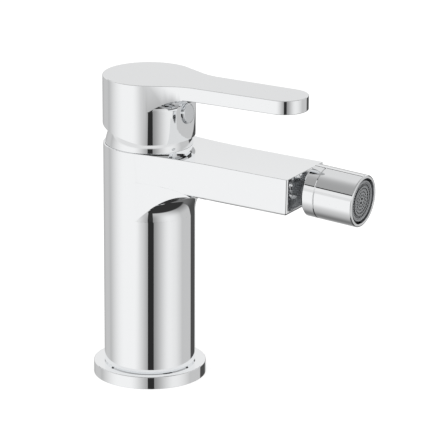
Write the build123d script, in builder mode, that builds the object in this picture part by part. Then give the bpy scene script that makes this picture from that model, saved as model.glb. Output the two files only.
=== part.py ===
from build123d import *
from math import cos, radians, sin, sqrt, tan
import os

# One-hole bidet mixer: a slim barrel on a base ring, a flat spout with a swivelling outlet,
# and a single lever over a ceramic disc cartridge.
# Millimetres. The origin is on the deck under the middle of the barrel, +Z is up, the spout points
# along -Y and +X is to the right of the person who uses it.

# Clearances
fit_gap = 0.1  # beside a piece that is screwed, pressed or dropped into another
turn_gap = 0.05  # beside a face that turns or slides on another
swing_gap = 0.3  # between moving pieces that don't guide each other
overrun = 1.0  # how far a cut runs past the face it opens
side_inset = 0.02  # how far inside a round its tangent sides start, so that the edge stays whole

# Base ring and its seal
flange_lip = 5.2  # how far the ring stands out past the barrel
flange_height = 6.1
seal_edge = 1.8
seal_width = 2.8
seal_height = 2.0

# Barrel
body_radius = 22.0
body_top = 116.1
foot_chamfer = 0.8
spigot_inset = 2.0
spigot_lift = 0.4
hollow_radius = 17.0

# Block under the cartridge, with the hose ports and the fixing stud's hole
block_height = 26.0
port_spread = 6.5
port_forward = 3.2
port_radius = 4.5
port_depth = 12.0
supply_radius = 2.4
stud_setback = 9.0
stud_radius = 3.4
stud_depth = 14.0

# Spout
spout_half_width = 17.5
spout_height = 17.6
spout_reach = 85.0
spout_straight = 46.0  # where the side arcs end and the sides run straight
spout_slope = 1.28  # degrees, down towards the tip
spout_root_round = 10.0
spout_under_round = 1.5
spout_end_round = 1.0

# Open pocket in the spout's end, and the waterway behind it
pocket_side_lip = 1.5
pocket_top_lip = 1.0
pocket_bottom_lip = 1.8
pocket_corner = 2.5
pocket_depth = 9.0
channel_radius = 3.5
channel_drop = 2.5

# Cartridge chamber
chamber_radius = 17.6
chamber_depth = 32.1  # below the barrel's top, as are the next two
ring_seat_drop = 0.6
pivot_drop = 2.1  # the lever's pivot pin

# Cartridge, from the floor up
wet_gap = 0.4
base_height = 6.5
fixed_disc_height = 4.0
moving_disc_height = 3.5
carrier_height = 5.2
guide_flange_height = 2.3
guide_neck_height = 12.65
nut_engagement = 5.1
collar_height = 8.0
housing_wall = 1.8
collar_wall = 1.5
guide_radius = 12.4
guide_leg_lift = 1.0  # how far the legs end above the moving disc
moving_disc_radius = 12.0
outlet_port_radius = 3.0
outlet_port_setback = 6.0
port_seal_inner_radius = 3.1
port_seal_outer_radius = 4.5
port_seal_height = 1.6
housing_seal_radius = 0.8
housing_seal_drop = 1.6  # below the nut
base_outlet_height = 3.5
base_outlet_floor = 2.0
mixing_width = 15.0
mixing_length = 9.6
mixing_corner = 3.5
mixing_depth = 1.8
mixing_land = 1.6

# Spindle and its pin
spindle_width = 7.6
spindle_headroom = 1.6
spindle_block_foot = 7.0  # below the pivot
spindle_arm = 12.6  # from the pivot down to the ball end's centre
spindle_ball_radius = 2.4
spindle_shank_radius = 1.7
pin_radius = 1.8
pin_end_gap = 0.4
carrier_floor = 0.6
carrier_side_gap = 0.35
guide_slot_front = 8.2
guide_slot_back = 7.2
guide_slot_gap = 0.4

# Nut and dome ring
nut_radius = 18.5
nut_hexagon = 32.0
nut_head_height = 4.0
dome_radius = 21.1  # a ball's, about the pivot
dome_height = 10.7
dome_bore = 19.4
dome_mouth = 15.6

# Lever
lever_rise = 33.3  # above the barrel's top, as are the next two
hub_foot_rise = 5.9  # of the sloping foot, at the barrel's axis
hub_front_rise = 4.2  # of the level foot under the facet
hub_radius = 22.2
hub_foot_slope = 11.5  # degrees, up towards the back
hub_bore = 19.6
hub_roof = 4.8
arm_thickness = 6.85
arm_half_width = 12.05
arm_tip_half_width = 11.4
arm_flare_angle = 25.5  # degrees, between the arm's side and the straight flare that joins the hub
arm_bend_radius = 25.0
arm_reach = 84.8
arm_root_round = 6.5
arm_edge_round = 0.5
lever_lift = 25.0  # degrees, from shut to fully open
boss_radius = 7.0
boss_clearance = 8.0
screw_boss_radius = 5.6

# Facet on the hub, with the set screw and its plug
facet_depth = 21.0  # from the barrel's axis, at the plug's height
facet_tilt = 6.0  # degrees, leaning back towards the top
plug_drop = 9.65  # below the arm's underside
plug_radius = 4.9
plug_thickness = 4.0
plug_stand = 1.3
plug_round = 0.8
plug_backing = 0.6
screw_radius = 2.4
screw_length = 10.0
screw_socket = 2.5
screw_socket_depth = 3.0

# Ball nipple in the spout's end
ball_radius = 8.5
ball_standoff = 8.9  # the ball's centre, out from the spout's end face
nipple_thread_radius = 4.8
nipple_thread_length = 10.0
nipple_collar_radius = 6.1
nipple_collar_height = 2.5
nipple_neck_radius = 4.4
nipple_bore = 2.6
nipple_washer_inner_radius = 4.9
nipple_washer_height = 1.2
ball_flat = 7.6

# Swivelling outlet, measured along its own axis from the ball's centre
outlet_tilt = 3.6  # degrees, down towards the mouth
outlet_radius = 12.4
outlet_reach = 21.9
ring_back = 5.0
ring_front = 2.0
ring_cone_angle = 18.0  # degrees, of the conical seat that holds the ball from behind
ring_thread_radius = 10.9
ring_thread_back = 1.0
ring_back_chamfer = 1.25
joint_chamfer = 0.3
sleeve_throat = 9.8
web_back = 9.2
web_thickness = 1.0
web_bore = 6.5
sleeve_bore = 10.75
lip_round = 1.0
lip_inner_chamfer = 0.3
seat_thickness = 0.8
seat_back = 1.6
seat_front = 6.4
packing_inner_radius = 6.6
packing_height = 2.2

# Aerator in the sleeve's bore
washer_height = 1.0
cup_radius = 9.7
cup_wall = 0.8
cup_flange = 1.0
cup_ledge = 0.8
cup_recess = 0.7
insert_height = 1.4
insert_recess = 0.3
insert_ridge_radius = 5.7
insert_ridge_width = 0.5
insert_ridge_height = 0.25
insert_hole = 0.62
insert_slot = 0.85
insert_pair_pitch = 1.9
insert_rim_share = 0.93
insert_slots = 36
# Each inner ring of openings: its radius as a share of the insert's, and how many it has
insert_ring_shares = ((0.78, 32), (0.50, 20), (0.30, 10))
diffuser_height = 2.0
diffuser_hole_radius = 0.6
diffuser_holes = 12
diffuser_ring_share = 0.6
screen_thickness = 0.4
screen_pitch = 1.5
screen_gap = 1.0
screens = 2
screen_hole = 1.3
screen_grid = 5
screen_grid_pitch = 2.1

# Levels and radii that follow from the sizes above
flange_radius = body_radius + flange_lip
spigot_radius = body_radius - spigot_inset
seal_outer_radius = flange_radius - seal_edge
seal_inner_radius = seal_outer_radius - seal_width
chamber_floor = body_top - chamber_depth
hollow_roof = chamber_floor - block_height
ring_seat = body_top - ring_seat_drop
pivot_height = body_top - pivot_drop
dome_top = ring_seat + dome_height
lever_top = body_top + lever_rise
hub_foot = body_top + hub_foot_rise
hub_front_foot = body_top + hub_front_rise
barrel_mouth = nut_radius + fit_gap
housing_radius = chamber_radius - wet_gap
housing_bore = housing_radius - housing_wall
disc_level = chamber_floor + base_height
sliding_level = disc_level + fixed_disc_height + turn_gap
carrier_level = sliding_level + moving_disc_height
carrier_top = carrier_level + carrier_height
guide_level = carrier_top + swing_gap
guide_leg_foot = carrier_level + guide_leg_lift
guide_flange_top = guide_level + guide_flange_height
guide_top = guide_flange_top + guide_neck_height
shoulder_level = body_top - nut_engagement
housing_seal_level = shoulder_level - housing_seal_drop
housing_roof = guide_flange_top + turn_gap
housing_top = shoulder_level + collar_height
collar_bore = guide_radius + fit_gap
collar_radius = collar_bore + collar_wall
guide_flange_radius = housing_bore - fit_gap
disc_travel = spindle_arm * sin(radians(lever_lift))
disc_setback = disc_travel / 2  # the moving disc starts as far behind the axis as it ends before it
spindle_foot = pivot_height - spindle_arm
hub_socket_radius = dome_radius + swing_gap
arm_under = lever_top - arm_thickness
hub_ceiling = lever_top - hub_roof
spindle_top = hub_ceiling - spindle_headroom
boss_foot = guide_top + boss_clearance
plug_height = arm_under - plug_drop
pocket_height = spout_height - pocket_top_lip - pocket_bottom_lip
pocket_rise = (pocket_bottom_lip - pocket_top_lip) / 2  # of the pocket's middle, which the nipple takes
nut_top = body_top + nut_head_height
plug_seat_depth = plug_thickness - plug_stand

# Planes that slope: the spout's top and end, the hub's foot and facet, and the outlet's axis
slope = radians(spout_slope)
spout_top = Plane((0, 0, body_top), x_dir=(1, 0, 0), z_dir=(0, -sin(slope), cos(slope)))
spout_end = Plane(
    spout_top.from_local_coords((0, -spout_reach, -spout_height / 2)),
    x_dir=(1, 0, 0),
    z_dir=(0, -cos(slope), -sin(slope)),
)
foot_slope = radians(hub_foot_slope)
hub_foot_plane = Plane(
    (0, 0, hub_foot), x_dir=(1, 0, 0), z_dir=(0, -sin(foot_slope), cos(foot_slope))
)
lean = radians(facet_tilt)
facet = Plane((0, -facet_depth, plug_height), x_dir=(1, 0, 0), z_dir=(0, -cos(lean), sin(lean)))
droop = radians(outlet_tilt)
ball_centre = spout_end.from_local_coords((0, pocket_rise, ball_standoff))
# In these two a point's second number runs forwards from the ball's centre
nipple_axis = Plane(ball_centre, x_dir=(1, 0, 0), z_dir=(0, sin(slope), -cos(slope)))
outlet_axis = Plane(ball_centre, x_dir=(1, 0, 0), z_dir=(0, sin(droop), -cos(droop)))


def turn(outline, plane=Plane.XZ, mode=Mode.ADD):
    """Turns a closed outline of (radius, height) points about the plane's upright axis."""
    with BuildSketch(plane) as profile:
        with BuildLine():
            Polyline(*outline, close=True)
        make_face()
    revolve(profile.sketch, axis=Axis(plane.origin, plane.y_dir), mode=mode)


def ring(inner, outer, low, high, plane=Plane.XZ, mode=Mode.ADD):
    """A plain ring, or a disc where the inner radius is zero."""
    turn([(inner, low), (outer, low), (outer, high), (inner, high)], plane, mode)


def across_outlet(distance):
    """The plane square to the outlet's axis, this far in front of the ball's centre."""
    origin = outlet_axis.from_local_coords((0, distance, 0))
    return Plane(origin, x_dir=(1, 0, 0), z_dir=outlet_axis.y_dir)


def flare_point(radius, half_width, straight):
    """Where a side arc that ends straight at the half width touches a round of this radius."""
    arc_radius = (half_width**2 + straight**2 - radius**2) / (2 * (radius - half_width))
    share = radius / (radius + arc_radius)
    return (half_width + arc_radius) * share, -straight * share


def arm_outline(level):
    """The lever arm's outline at this height, from the hub's round to its rounded tip."""
    flare = radians(arm_flare_angle)
    leave_radius = hub_radius - side_inset
    leave = (leave_radius * cos(flare), -leave_radius * sin(flare))
    # Where the flare's line would cross the arm's side, and the bend that rounds that corner
    crossing = leave[1] - (leave[0] - arm_half_width) / tan(flare)
    trim = arm_bend_radius * tan(flare / 2)
    bend_start = (arm_half_width + trim * sin(flare), crossing + trim * cos(flare))
    bend_end = (arm_half_width, crossing - trim)
    taper_end = (arm_tip_half_width, arm_tip_half_width - arm_reach)
    with BuildSketch(Plane.XY.offset(level)) as outline:
        with BuildLine():
            Polyline((0, leave[1]), leave, bend_start)
            TangentArc(bend_start, bend_end, tangent=(-sin(flare), -cos(flare)))
            Line(bend_end, taper_end)
            TangentArc(taper_end, (0, -arm_reach), tangent=(0, -1))
            mirror(about=Plane.YZ)
        make_face()
    return outline.sketch


def cone_radius(behind):
    """The radius of the conical seat that touches the ball, this far behind the ball's centre."""
    angle = radians(ring_cone_angle)
    return (ball_radius + turn_gap - behind * sin(angle)) / cos(angle)


def save(piece, name):
    """Labels a finished piece and writes it."""
    piece.part.label = name
    export_step(piece.part, f"parts/{name}.step")


os.makedirs("parts", exist_ok=True)

# Mixer body: barrel and spout in one casting
with BuildPart() as mixer_body:
    turn(
        [
            (0, spigot_lift),
            (spigot_radius, spigot_lift),
            (spigot_radius, flange_height),
            (body_radius - foot_chamfer, flange_height),
            (body_radius, flange_height + foot_chamfer),
            (body_radius, body_top),
            (0, body_top),
        ]
    )
    leave = flare_point(body_radius - side_inset, spout_half_width, spout_straight)
    with BuildSketch(spout_top):
        with BuildLine():
            Line((0, leave[1]), leave)
            TangentArc((spout_half_width, -spout_straight), leave, tangent=(0, 1))
            Line((spout_half_width, -spout_straight), (spout_half_width, -spout_reach))
            Line((spout_half_width, -spout_reach), (0, -spout_reach))
            mirror(about=Plane.YZ)
        make_face()
    extrude(amount=-spout_height)
    # Rounds along the underside's edges, then a wide one into the barrel
    underside = mixer_body.faces().filter_by(spout_top).sort_by(Axis.Z)[0]
    fillet(
        underside.edges().filter_by(
            lambda edge: abs(edge.center().X) > spout_half_width / 2
            or edge.center().Y < -spout_straight
        ),
        radius=spout_under_round,
    )
    end_face = mixer_body.faces().filter_by(GeomType.PLANE).sort_by(Axis.Y)[0]
    fillet(
        end_face.edges().filter_by(lambda edge: abs(edge.center().X) > spout_half_width - fit_gap),
        radius=spout_end_round,
    )
    fillet(mixer_body.edges().filter_by(GeomType.ELLIPSE).sort_by(Axis.Z)[0], radius=spout_root_round)
    # The barrel's top falls away with the spout's
    with BuildSketch(spout_top):
        with Locations((0, -spout_reach)):
            Rectangle(4 * body_radius, 2 * spout_reach)
    extrude(amount=spout_height, mode=Mode.SUBTRACT)
    # Hollow foot
    ring(0, hollow_radius, 0, hollow_roof, mode=Mode.SUBTRACT)
    # Chamber for the block and the cartridge, nut thread and the dome ring's seat
    turn(
        [
            (0, hollow_roof),
            (chamber_radius, hollow_roof),
            (chamber_radius, shoulder_level),
            (barrel_mouth, shoulder_level),
            (barrel_mouth, ring_seat),
            (dome_radius + fit_gap, ring_seat),
            (dome_radius + fit_gap, body_top + overrun),
            (0, body_top + overrun),
        ],
        mode=Mode.SUBTRACT,
    )
    # Pocket in the spout's end, the nipple's thread and the waterway
    with BuildSketch(spout_end):
        with Locations((0, pocket_rise)):
            RectangleRounded(
                2 * (spout_half_width - pocket_side_lip), pocket_height, pocket_corner
            )
    extrude(amount=-pocket_depth, mode=Mode.SUBTRACT)
    with BuildSketch(spout_end.offset(-pocket_depth)):
        with Locations((0, pocket_rise)):
            Circle(nipple_thread_radius + fit_gap)
    extrude(amount=-nipple_thread_length, mode=Mode.SUBTRACT)
    channel_inner_end = sqrt(chamber_radius**2 - channel_radius**2) - overrun
    with BuildSketch(spout_end.offset(-pocket_depth)):
        with Locations((0, -channel_drop)):
            Circle(channel_radius)
    extrude(amount=-(spout_reach - pocket_depth - channel_inner_end), mode=Mode.SUBTRACT)
save(mixer_body, "mixer_body")

# Block pressed into the barrel: it carries the cartridge, the hose ports and the stud's hole
inlets = Locations((port_spread, -port_forward), (-port_spread, -port_forward))
with BuildPart() as inlet_block:
    ring(0, chamber_radius - fit_gap, hollow_roof, chamber_floor)
    with BuildSketch(Plane.XY.offset(hollow_roof)):
        with inlets:
            Circle(port_radius)
    extrude(amount=port_depth, mode=Mode.SUBTRACT)
    with BuildSketch(Plane.XY.offset(hollow_roof)):
        with inlets:
            Circle(supply_radius)
    extrude(amount=block_height, mode=Mode.SUBTRACT)
    with BuildSketch(Plane.XY.offset(hollow_roof)):
        with Locations((0, stud_setback)):
            Circle(stud_radius)
    extrude(amount=stud_depth, mode=Mode.SUBTRACT)
save(inlet_block, "inlet_block")

# Base ring, with a groove for its seal
with BuildPart() as base_flange:
    ring(spigot_radius + fit_gap, flange_radius, 0, flange_height)
    ring(
        seal_inner_radius - fit_gap, seal_outer_radius + fit_gap, 0, seal_height, mode=Mode.SUBTRACT
    )
save(base_flange, "base_flange")

with BuildPart() as base_seal:
    ring(seal_inner_radius, seal_outer_radius, 0, seal_height)
save(base_seal, "base_seal")

# Dome ring between barrel and lever: part of a ball about the pivot, so that the hub clears it
with BuildPart() as dome_ring:
    with Locations((0, 0, pivot_height)):
        Sphere(dome_radius)
    turn(
        [
            (dome_bore, ring_seat),
            (dome_radius + overrun, ring_seat),
            (dome_radius + overrun, dome_top),
            (dome_mouth, dome_top),
            (dome_bore, nut_top + swing_gap),
        ],
        mode=Mode.INTERSECT,
    )
save(dome_ring, "dome_ring")

# Nut that presses the cartridge into its chamber
with BuildPart() as cartridge_nut:
    ring(0, nut_radius, shoulder_level, body_top)
    with BuildSketch(Plane.XY.offset(body_top)):
        RegularPolygon(nut_hexagon / 2, side_count=6, major_radius=False)
    extrude(amount=nut_head_height)
    ring(0, collar_radius + swing_gap, shoulder_level, nut_top, mode=Mode.SUBTRACT)
save(cartridge_nut, "cartridge_nut")

# Cartridge housing: a cup open below, with a collar that guides the turning part
seal_groove_depth = 2 * housing_seal_radius - wet_gap + fit_gap
with BuildPart() as cartridge_housing:
    turn(
        [
            (housing_bore, disc_level),
            (housing_radius, disc_level),
            (housing_radius, shoulder_level),
            (collar_radius, shoulder_level),
            (collar_radius, housing_top),
            (collar_bore, housing_top),
            (collar_bore, housing_roof),
            (housing_bore, housing_roof),
        ]
    )
    ring(
        housing_radius - seal_groove_depth,
        housing_radius,
        housing_seal_level - housing_seal_radius,
        housing_seal_level + housing_seal_radius,
        mode=Mode.SUBTRACT,
    )
save(cartridge_housing, "cartridge_housing")

with BuildPart() as housing_seal:
    with BuildSketch(Plane.XZ):
        with Locations((chamber_radius - turn_gap - housing_seal_radius, housing_seal_level)):
            RegularPolygon(housing_seal_radius, side_count=8, major_radius=False, rotation=22.5)
    revolve(axis=Axis.Z)
save(housing_seal, "housing_seal")

# Cartridge base: two inlets with ring seals below, and an outlet that opens at the back
with BuildPart() as cartridge_base:
    ring(0, housing_radius, chamber_floor, disc_level)
    with BuildSketch(Plane.XY.offset(chamber_floor)):
        with inlets:
            Circle(supply_radius)
    extrude(amount=base_height, mode=Mode.SUBTRACT)
    with BuildSketch(Plane.XY.offset(chamber_floor)):
        with inlets:
            Circle(port_seal_outer_radius + fit_gap)
            Circle(port_seal_inner_radius - fit_gap, mode=Mode.SUBTRACT)
    extrude(amount=port_seal_height, mode=Mode.SUBTRACT)
    outlet_floor = chamber_floor + base_outlet_floor
    with BuildSketch(Plane.XY.offset(outlet_floor)):
        with Locations((0, outlet_port_setback)):
            Circle(outlet_port_radius)
    extrude(amount=base_height - base_outlet_floor, mode=Mode.SUBTRACT)
    with BuildSketch(Plane.XY.offset(outlet_floor)):
        with Locations((0, outlet_port_setback + housing_radius / 2)):
            Rectangle(2 * outlet_port_radius, housing_radius)
    extrude(amount=base_outlet_height, mode=Mode.SUBTRACT)
save(cartridge_base, "cartridge_base")

with BuildPart() as port_seals:
    with BuildSketch(Plane.XY.offset(chamber_floor)):
        with inlets:
            Circle(port_seal_outer_radius)
            Circle(port_seal_inner_radius, mode=Mode.SUBTRACT)
    extrude(amount=port_seal_height)
save(port_seals, "port_seals")

# Ceramic discs
with BuildPart() as fixed_disc:
    ring(0, housing_bore - fit_gap, disc_level, disc_level + fixed_disc_height)
    with BuildSketch(Plane.XY.offset(disc_level)):
        with inlets:
            Circle(supply_radius)
        with Locations((0, outlet_port_setback)):
            Circle(outlet_port_radius)
    extrude(amount=fixed_disc_height, mode=Mode.SUBTRACT)
save(fixed_disc, "fixed_disc")

with BuildPart() as moving_disc:
    with BuildSketch(Plane.XY.offset(sliding_level)):
        with Locations((0, disc_setback)):
            Circle(moving_disc_radius)
    extrude(amount=moving_disc_height)
    # The mixing pocket starts one land behind the inlets and slides over them
    pocket_front = supply_radius - port_forward + mixing_land
    with BuildSketch(Plane.XY.offset(sliding_level)):
        with Locations((0, pocket_front + mixing_length / 2)):
            RectangleRounded(mixing_width, mixing_length, mixing_corner)
    extrude(amount=mixing_depth, mode=Mode.SUBTRACT)
save(moving_disc, "moving_disc")

# Carrier that the spindle's ball end pushes, with the disc under it
with BuildPart() as disc_carrier:
    with BuildSketch(Plane.XY.offset(carrier_level)):
        with Locations((0, disc_setback)):
            Circle(moving_disc_radius)
    extrude(amount=carrier_height)
    with BuildSketch(Plane.XY.offset(carrier_level + carrier_floor)):
        SlotCenterToCenter(
            2 * carrier_side_gap, 2 * (spindle_ball_radius + fit_gap), rotation=90
        )
    extrude(amount=carrier_height, mode=Mode.SUBTRACT)
save(disc_carrier, "disc_carrier")

# Guide that turns with the lever: a flange under the housing's roof, a neck through its collar,
# and two legs beside the carrier
with BuildPart() as spindle_guide:
    turn(
        [
            (0, guide_leg_foot),
            (guide_flange_radius, guide_leg_foot),
            (guide_flange_radius, guide_flange_top),
            (guide_radius, guide_flange_top),
            (guide_radius, guide_top),
            (0, guide_top),
        ]
    )
    with BuildSketch(Plane.XY.offset(guide_leg_foot)):
        Rectangle(2 * (moving_disc_radius + swing_gap), 2 * guide_flange_radius)
    extrude(amount=guide_level - guide_leg_foot, mode=Mode.SUBTRACT)
    with BuildSketch(Plane.XY.offset(guide_leg_foot)):
        with Locations((0, (guide_slot_back - guide_slot_front) / 2)):
            Rectangle(spindle_width + 2 * guide_slot_gap, guide_slot_front + guide_slot_back)
    extrude(amount=guide_top - guide_leg_foot, mode=Mode.SUBTRACT)
    with BuildSketch(Plane.YZ):
        with Locations((0, pivot_height)):
            Circle(pin_radius + turn_gap)
    extrude(amount=guide_radius, both=True, mode=Mode.SUBTRACT)
save(spindle_guide, "spindle_guide")

with BuildPart() as spindle_pin:
    with BuildSketch(Plane.YZ):
        with Locations((0, pivot_height)):
            Circle(pin_radius)
    extrude(amount=guide_radius - pin_end_gap, both=True)
save(spindle_pin, "spindle_pin")

# Spindle: a square bar on the pin, with a thin shank and a ball end below
with BuildPart() as cartridge_spindle:
    with BuildSketch(Plane.XY.offset(pivot_height - spindle_block_foot)):
        Rectangle(spindle_width, spindle_width)
    extrude(amount=spindle_top - pivot_height + spindle_block_foot)
    ring(0, spindle_shank_radius, spindle_foot, pivot_height - spindle_block_foot)
    with Locations((0, 0, spindle_foot)):
        Sphere(spindle_ball_radius)
    with BuildSketch(Plane.YZ):
        with Locations((0, pivot_height)):
            Circle(pin_radius + turn_gap)
    extrude(amount=spindle_width, both=True, mode=Mode.SUBTRACT)
save(cartridge_spindle, "cartridge_spindle")

# Lever: the wide round under the arm's root, against hub and facet alike
root_low = arm_under - arm_root_round
root_centre = -facet_depth - (arm_root_round + (plug_height - root_low) * sin(lean)) / cos(lean)
root_touch = (root_centre + arm_root_round * cos(lean), root_low - arm_root_round * sin(lean))
with BuildPart() as arm_root:
    extrude(arm_outline(root_low), amount=arm_root_round + arm_edge_round)
    with BuildSketch(Plane.XZ):
        with BuildLine():
            TangentArc((hub_radius, root_low), (hub_radius + arm_root_round, arm_under), tangent=(0, 1))
            Polyline(
                (hub_radius + arm_root_round, arm_under),
                (hub_radius + arm_root_round, lever_top),
                (arm_reach, lever_top),
                (arm_reach, root_low - overrun),
                (hub_radius, root_low - overrun),
                (hub_radius, root_low),
            )
        make_face()
    revolve(axis=Axis.Z, mode=Mode.SUBTRACT)
    with BuildSketch(Plane.YZ):
        with BuildLine():
            TangentArc(root_touch, (root_centre, arm_under), tangent=(sin(lean), cos(lean)))
            Polyline(
                (root_centre, arm_under),
                (root_centre, lever_top),
                (-arm_reach, lever_top),
                (-arm_reach, root_touch[1]),
                root_touch,
            )
        make_face()
    extrude(amount=hub_radius, both=True, mode=Mode.SUBTRACT)

# Lever: a round hub with a flat arm, hollow below
with BuildPart() as lever_handle:
    ring(0, hub_radius, pivot_height, lever_top)
    # The facet is cut before the arm goes over it
    with BuildSketch(facet):
        Rectangle(2 * hub_radius, 4 * (lever_top - plug_height))
    extrude(amount=hub_radius, mode=Mode.SUBTRACT)
    ring(0, hub_radius, arm_under, lever_top)
    extrude(arm_outline(arm_under), amount=arm_thickness)
    arm_edges = lever_handle.edges().filter_by(
        lambda edge: abs(edge.center().Z - arm_under) < fit_gap and edge.center().Y < -hub_radius
    )
    fillet(arm_edges, radius=arm_edge_round)
    add(arm_root.part)
    split(bisect_by=hub_foot_plane, keep=Keep.TOP)
    split(bisect_by=Plane.XY.offset(hub_front_foot), keep=Keep.TOP)
    # Cavity that clears the dome ring at every lift
    ring(0, hub_bore, pivot_height, hub_ceiling, mode=Mode.SUBTRACT)
    with Locations((0, 0, pivot_height)):
        Sphere(hub_socket_radius, mode=Mode.SUBTRACT)
    # Boss on the spindle, and a cross boss for the set screw behind the facet
    ring(0, boss_radius, boss_foot, hub_ceiling)
    with BuildSketch(facet.offset(-plug_seat_depth - plug_backing)):
        Circle(screw_boss_radius)
    extrude(amount=-(facet_depth - plug_seat_depth - plug_backing - boss_radius / 2))
    with BuildSketch(Plane.XY.offset(boss_foot)):
        Rectangle(spindle_width + 2 * fit_gap, spindle_width + 2 * fit_gap)
    extrude(amount=spindle_top + fit_gap - boss_foot, mode=Mode.SUBTRACT)
    with BuildSketch(facet.offset(-plug_seat_depth)):
        Circle(plug_radius + fit_gap)
    extrude(amount=plug_thickness + fit_gap, mode=Mode.SUBTRACT)
    with BuildSketch(facet):
        Circle(screw_radius + fit_gap)
    extrude(amount=-(facet_depth - boss_radius / 2), mode=Mode.SUBTRACT)
save(lever_handle, "lever_handle")

# Set screw that grips the spindle, with a hexagon socket, and the plug over it
screw_tip = (facet_depth - spindle_width / 2) / cos(lean) - screw_radius * tan(lean) - turn_gap
with BuildPart() as set_screw:
    with BuildSketch(facet.offset(-screw_tip)):
        Circle(screw_radius)
    extrude(amount=screw_length)
    with BuildSketch(facet.offset(screw_length - screw_tip)):
        RegularPolygon(screw_socket / 2, side_count=6, major_radius=False)
    extrude(amount=-screw_socket_depth, mode=Mode.SUBTRACT)
save(set_screw, "set_screw")

with BuildPart() as index_plug:
    with BuildSketch(facet.offset(-plug_seat_depth)):
        Circle(plug_radius)
    extrude(amount=plug_thickness)
    fillet(index_plug.edges().filter_by(GeomType.CIRCLE).sort_by(Axis.Y)[0], radius=plug_round)
save(index_plug, "index_plug")

# Ball nipple, screwed into the pocket's floor
pocket_floor = -(ball_standoff + pocket_depth)
collar_foot = pocket_floor + nipple_washer_height
collar_front = collar_foot + nipple_collar_height
thread_end = pocket_floor - nipple_thread_length + fit_gap
with BuildPart() as ball_nipple:
    turn(
        [
            (0, thread_end),
            (nipple_thread_radius, thread_end),
            (nipple_thread_radius, collar_foot),
            (nipple_collar_radius, collar_foot),
            (nipple_collar_radius, collar_front),
            (nipple_neck_radius, collar_front),
            (nipple_neck_radius, 0),
            (0, 0),
        ],
        nipple_axis,
    )
    with Locations(ball_centre):
        Sphere(ball_radius)
    ring(0, ball_radius, ball_flat, ball_radius, nipple_axis, Mode.SUBTRACT)
    ring(0, nipple_bore, thread_end, ball_radius, nipple_axis, Mode.SUBTRACT)
save(ball_nipple, "ball_nipple")

with BuildPart() as nipple_washer:
    ring(nipple_washer_inner_radius, nipple_collar_radius, pocket_floor, collar_foot, nipple_axis)
save(nipple_washer, "nipple_washer")

# Swivelling outlet: a ring behind the ball, screwed to the aerator's sleeve
with BuildPart() as swivel_ring:
    turn(
        [
            (cone_radius(ring_back), -ring_back),
            (outlet_radius - ring_back_chamfer, -ring_back),
            (outlet_radius, ring_back_chamfer - ring_back),
            (outlet_radius, ring_front - joint_chamfer),
            (outlet_radius - joint_chamfer, ring_front),
            (ring_thread_radius, ring_front),
            (ring_thread_radius, -ring_thread_back),
            (cone_radius(ring_thread_back), -ring_thread_back),
        ],
        outlet_axis,
    )
save(swivel_ring, "swivel_ring")

spigot_back = fit_gap - ring_thread_back
spigot_outer_radius = ring_thread_radius - fit_gap
web_front = web_back + web_thickness
with BuildPart() as aerator_sleeve:
    turn(
        [
            (sleeve_throat, spigot_back),
            (spigot_outer_radius, spigot_back),
            (spigot_outer_radius, ring_front),
            (outlet_radius - joint_chamfer, ring_front),
            (outlet_radius, ring_front + joint_chamfer),
            (outlet_radius, outlet_reach),
            (sleeve_bore + lip_inner_chamfer, outlet_reach),
            (sleeve_bore, outlet_reach - lip_inner_chamfer),
            (sleeve_bore, web_front),
            (web_bore, web_front),
            (web_bore, web_back),
            (sleeve_throat, web_back),
        ],
        outlet_axis,
    )
    circles = aerator_sleeve.edges().filter_by(GeomType.CIRCLE)
    lip = circles.group_by(SortBy.RADIUS)[-1].sort_by(Axis.Y)[0]
    fillet(lip, radius=lip_round)
save(aerator_sleeve, "aerator_sleeve")

# Seat, a thin shell that lies on the ball, and the packing ring that springs it
with BuildPart() as ball_seat:
    with Locations(ball_centre):
        Sphere(ball_radius + turn_gap + seat_thickness)
        Sphere(ball_radius + turn_gap, mode=Mode.SUBTRACT)
    ring(0, sleeve_throat, seat_back, seat_front, outlet_axis, Mode.INTERSECT)
save(ball_seat, "ball_seat")

packing_front = web_back - turn_gap
with BuildPart() as packing_ring:
    ring(
        packing_inner_radius,
        sleeve_throat - fit_gap,
        packing_front - packing_height,
        packing_front,
        outlet_axis,
    )
save(packing_ring, "packing_ring")

# Aerator: a washer, a cup, and in the cup a diffuser, two screens and the jet insert
washer_front = web_front + washer_height
with BuildPart() as aerator_washer:
    ring(web_bore, sleeve_bore - fit_gap, web_front, washer_front, outlet_axis)
save(aerator_washer, "aerator_washer")

cup_bore = cup_radius - cup_wall
cup_ledge_front = washer_front + cup_flange
with BuildPart() as aerator_cup:
    turn(
        [
            (cup_bore - cup_ledge, washer_front),
            (sleeve_bore - fit_gap, washer_front),
            (sleeve_bore - fit_gap, cup_ledge_front),
            (cup_radius, cup_ledge_front),
            (cup_radius, outlet_reach - cup_recess),
            (cup_bore, outlet_reach - cup_recess),
            (cup_bore, cup_ledge_front),
            (cup_bore - cup_ledge, cup_ledge_front),
        ],
        outlet_axis,
    )
save(aerator_cup, "aerator_cup")

insert_radius = cup_bore - fit_gap
with BuildPart() as aerator_diffuser:
    with BuildSketch(across_outlet(cup_ledge_front)):
        Circle(insert_radius)
        with PolarLocations(insert_radius * diffuser_ring_share, diffuser_holes):
            Circle(diffuser_hole_radius, mode=Mode.SUBTRACT)
    extrude(amount=diffuser_height)
save(aerator_diffuser, "aerator_diffuser")

with BuildPart() as aerator_screens:
    for screen in range(screens):
        screen_back = cup_ledge_front + diffuser_height + screen * screen_pitch + screen_gap
        with BuildSketch(across_outlet(screen_back)):
            Circle(insert_radius)
            with GridLocations(screen_grid_pitch, screen_grid_pitch, screen_grid, screen_grid):
                Rectangle(screen_hole, screen_hole, mode=Mode.SUBTRACT)
        extrude(amount=screen_thickness)
save(aerator_screens, "aerator_screens")

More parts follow.
